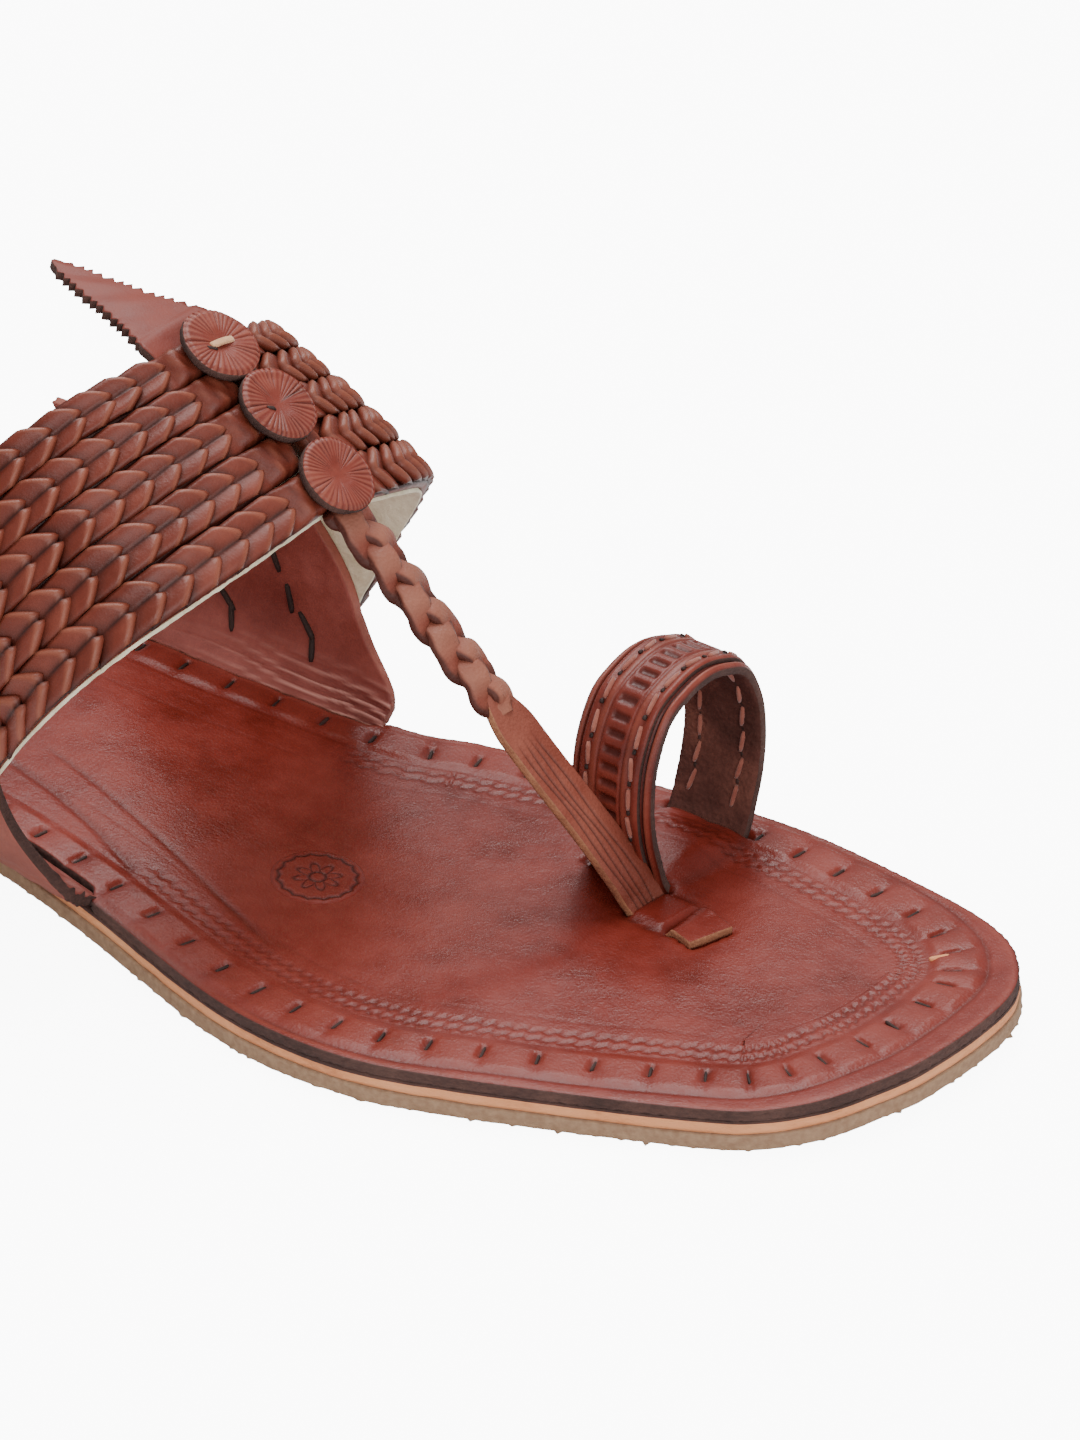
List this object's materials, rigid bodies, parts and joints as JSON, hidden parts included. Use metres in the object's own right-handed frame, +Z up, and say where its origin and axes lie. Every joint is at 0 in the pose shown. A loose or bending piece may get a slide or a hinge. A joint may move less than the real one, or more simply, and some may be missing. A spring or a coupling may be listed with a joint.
{
  "type": "toe-ring sandal",
  "caption": "Handmade leather right-foot sandal: layered sole, lined plaited instep band with discs and leaf, plaited toe thong and stitched toe ring.",
  "frame": {"origin": "middle of the bounding box, on the ground the sandal stands on", "axes": "+X to the toe, +Y to the inner (big toe) side of the right foot, +Z up"},
  "size_m": [0.2601, 0.1024, 0.0951],
  "materials": {
    "rubber_sole": "matt, slightly dusty",
    "heel_rubber": "matt",
    "leather_natural": "natural vegetable-tanned, raw cut edge",
    "leather_sole": "smooth dyed grain, semi-gloss",
    "lace_dark": "matt",
    "suede_lining": "napped suede, matt",
    "leather_plait": "smooth dyed grain, satin",
    "leather_disc": "pressed dyed grain, satin",
    "lace_tan": "matt",
    "leather_leaf": "dyed grain, satin",
    "leather_ring": "tooled dyed grain, satin",
    "thread_pink": "waxed thread, matt"
  },
  "bodies": {
    "sandal": {"heel_block": "heel_rubber", "outsole": "rubber_sole", "midsole": "leather_natural", "top_sole": "leather_sole", "sole_lacing": "lace_dark", "ear_lacing_lateral": "lace_dark", "ear_lacing_medial": "lace_dark", "band_lining": "suede_lining", "plait_lateral_1": "leather_plait", "plait_lateral_2": "leather_plait", "plait_lateral_3": "leather_plait", "plait_lateral_4": "leather_plait", "plait_lateral_5": "leather_plait", "plait_medial_1": "leather_plait", "plait_medial_2": "leather_plait", "plait_medial_3": "leather_plait", "plait_medial_4": "leather_plait", "plait_medial_5": "leather_plait", "disc_rear": "leather_disc", "disc_middle": "leather_disc", "disc_front": "leather_disc", "disc_laces": "lace_tan", "leaf_root": "leather_leaf", "toe_thong": "leather_plait", "toe_ring_base": "leather_ring", "toe_ring_overlay": "leather_ring", "toe_ring_stitching": "thread_pink"},
    "tongue": {"leaf_tongue": "leather_leaf"}
  },
  "joints": [
    {"name": "leaf_bend", "type": "hinge", "parent": "sandal", "child": "tongue", "pos_m": [-0.0162, 0.00665, 0.0893], "axis": [0, 1, 0], "range_deg": [-12, 35], "stiffness_Nm_per_rad": 0.03}
  ]
}
